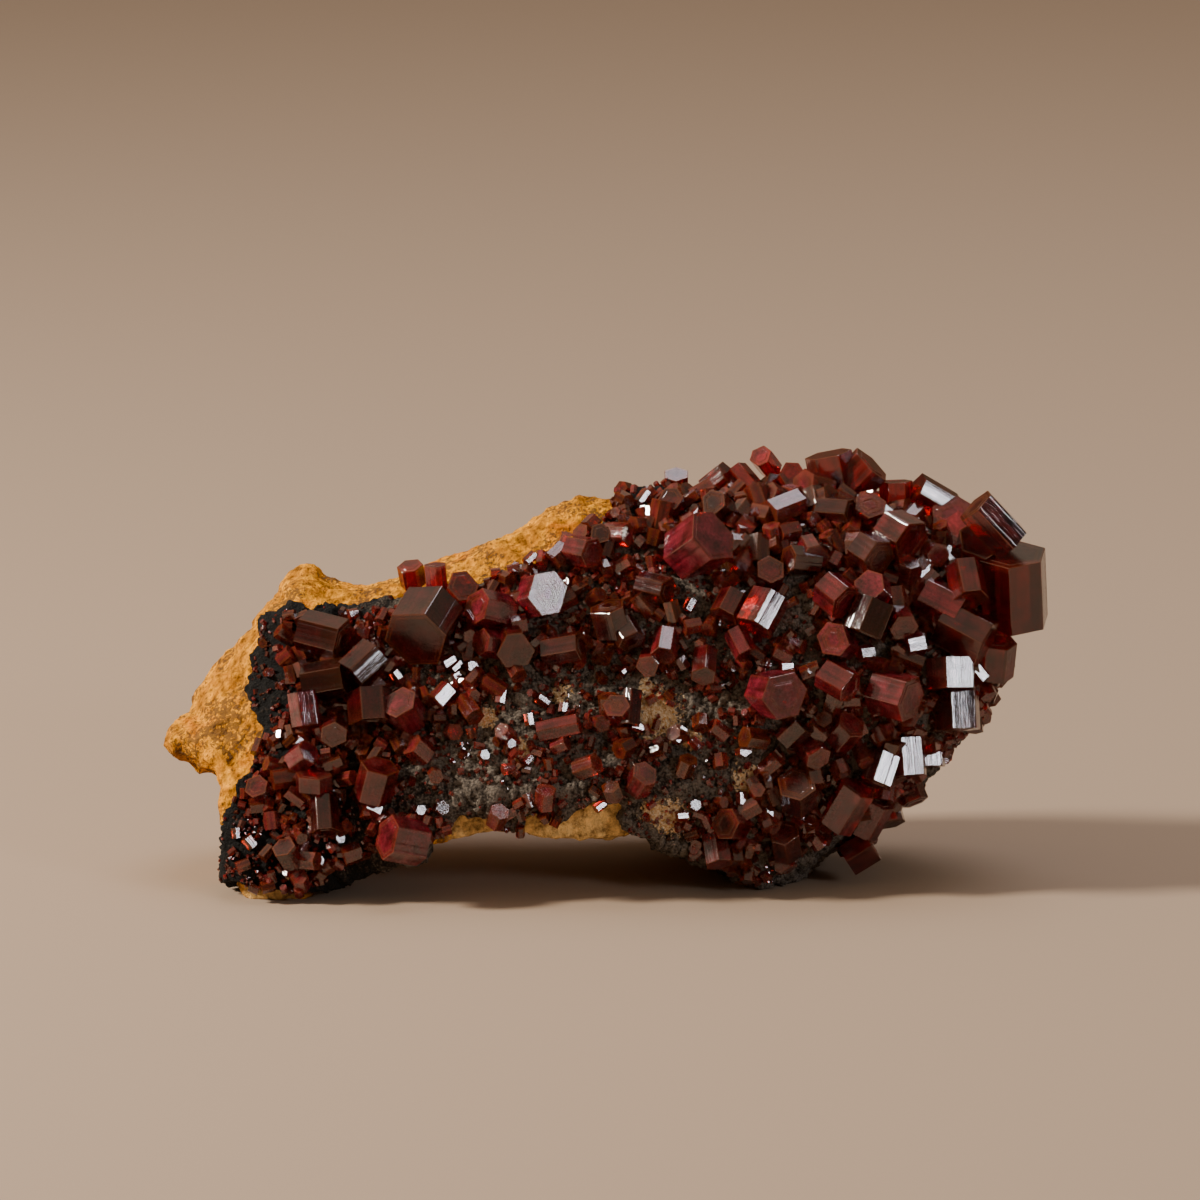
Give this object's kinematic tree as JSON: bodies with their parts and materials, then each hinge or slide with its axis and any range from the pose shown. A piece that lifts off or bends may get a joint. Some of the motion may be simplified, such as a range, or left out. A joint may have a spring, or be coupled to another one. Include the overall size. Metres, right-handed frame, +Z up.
{
  "type": "mineral specimen",
  "caption": "Vanadinite on matrix: dark red hexagonal crystals on a black crust over an arched piece of ochre rock.",
  "frame": {"origin": "centre of the bounding box in plan, on the surface that the specimen rests on", "axes": "+X along the length to the specimen's right as its crystal face is looked at, -Y out of the crystal face, +Z up"},
  "size_m": [0.089, 0.0365, 0.0426],
  "materials": {
    "ochre_limonite": "rough, finely grained, with dark speckles",
    "manganese_oxide_crust": "dull granular crust set with tiny crystals",
    "vanadinite": "adamantine, translucent dark red, smooth faces with fine striations"
  },
  "bodies": {
    "root": {"black_crust": "manganese_oxide_crust", "cluster_end_05": "vanadinite", "cluster_end_13": "vanadinite", "cluster_left_03": "vanadinite", "cluster_left_07": "vanadinite", "cluster_left_10": "vanadinite", "cluster_left_15": "vanadinite", "cluster_low_03": "vanadinite", "cluster_low_06": "vanadinite", "cluster_low_10": "vanadinite", "cluster_middle_02": "vanadinite", "cluster_middle_07": "vanadinite", "cluster_middle_10": "vanadinite", "cluster_middle_14": "vanadinite", "cluster_middle_19": "vanadinite", "cluster_middle_25": "vanadinite", "cluster_top_06": "vanadinite", "cluster_top_09": "vanadinite", "cluster_top_12": "vanadinite", "cluster_top_14": "vanadinite", "crystal_end_03": "vanadinite", "crystal_end_12": "vanadinite", "crystal_end_15": "vanadinite", "crystal_end_16": "vanadinite", "crystal_end_17": "vanadinite", "crystal_end_20": "vanadinite", "crystal_left_05": "vanadinite", "crystal_left_06": "vanadinite", "crystal_left_09": "vanadinite", "crystal_left_12": "vanadinite", "crystal_left_13": "vanadinite", "crystal_left_14": "vanadinite", "crystal_left_17": "vanadinite", "crystal_left_18": "vanadinite", "crystal_low_01": "vanadinite", "crystal_low_02": "vanadinite", "crystal_low_04": "vanadinite", "crystal_low_08": "vanadinite", "crystal_low_09": "vanadinite", "crystal_middle_01": "vanadinite", "crystal_middle_04": "vanadinite", "crystal_middle_05": "vanadinite", "crystal_middle_06": "vanadinite", "crystal_middle_09": "vanadinite", "crystal_middle_12": "vanadinite", "crystal_middle_13": "vanadinite", "crystal_middle_16": "vanadinite", "crystal_middle_17": "vanadinite", "crystal_middle_18": "vanadinite", "crystal_middle_21": "vanadinite", "crystal_middle_22": "vanadinite", "crystal_top_01": "vanadinite", "crystal_top_02": "vanadinite", "crystal_top_04": "vanadinite", "matrix_rock": "ochre_limonite"}
  },
  "joints": []
}
